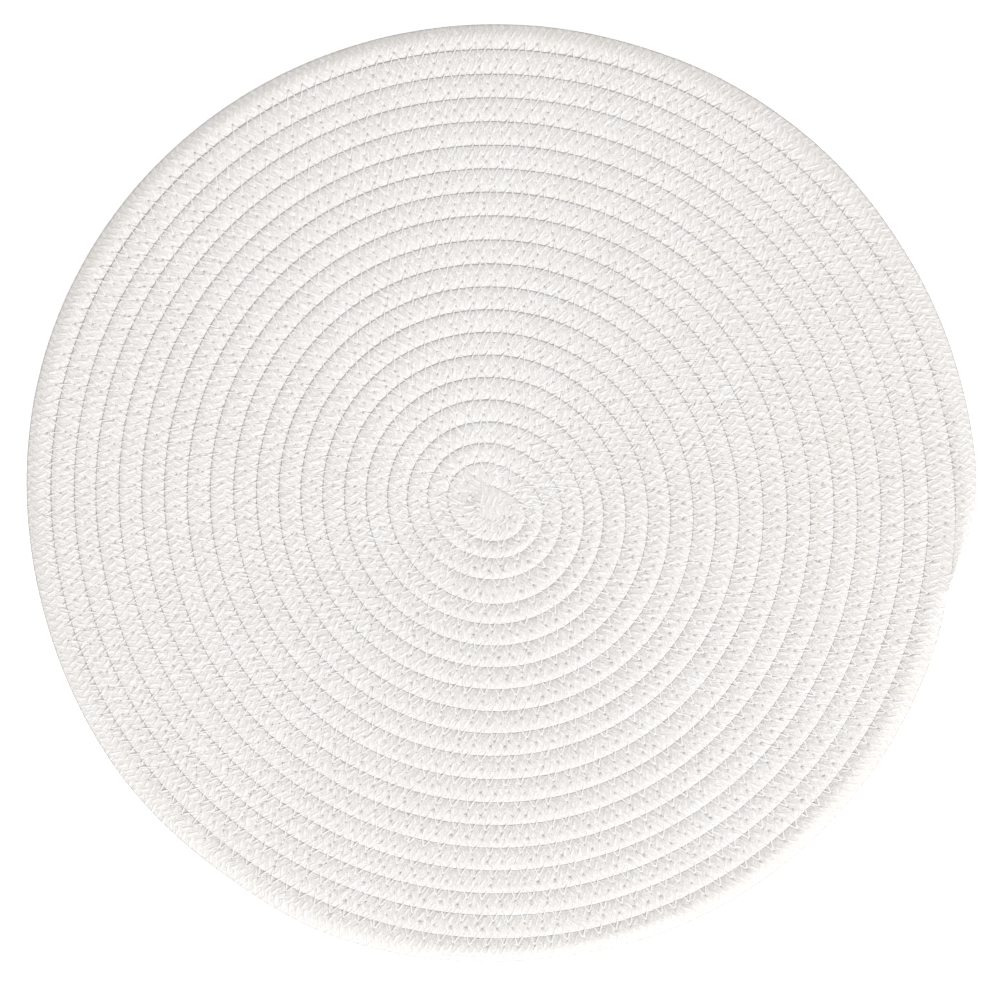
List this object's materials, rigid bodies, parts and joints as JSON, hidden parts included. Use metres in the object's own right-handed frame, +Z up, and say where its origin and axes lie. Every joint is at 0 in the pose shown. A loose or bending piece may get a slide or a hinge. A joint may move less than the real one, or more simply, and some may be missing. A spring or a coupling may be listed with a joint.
{
  "type": "fabric placemat",
  "caption": "Round flat placemat of off-white braided cotton rope, wound in a spiral and zigzag-sewn turn to turn.",
  "frame": {"origin": "on the table, under the middle of the outline", "axes": "+Z up from the table, through the mat's thickness; +X towards the rope's outer end, along the mat's widest extent; +Y away from the viewer"},
  "size_m": [0.382, 0.3772, 0.006],
  "materials": {
    "cotton_rope": "matt braided cotton, off-white"
  },
  "bodies": {
    "root": {"rope_coil": "cotton_rope"}
  },
  "joints": []
}
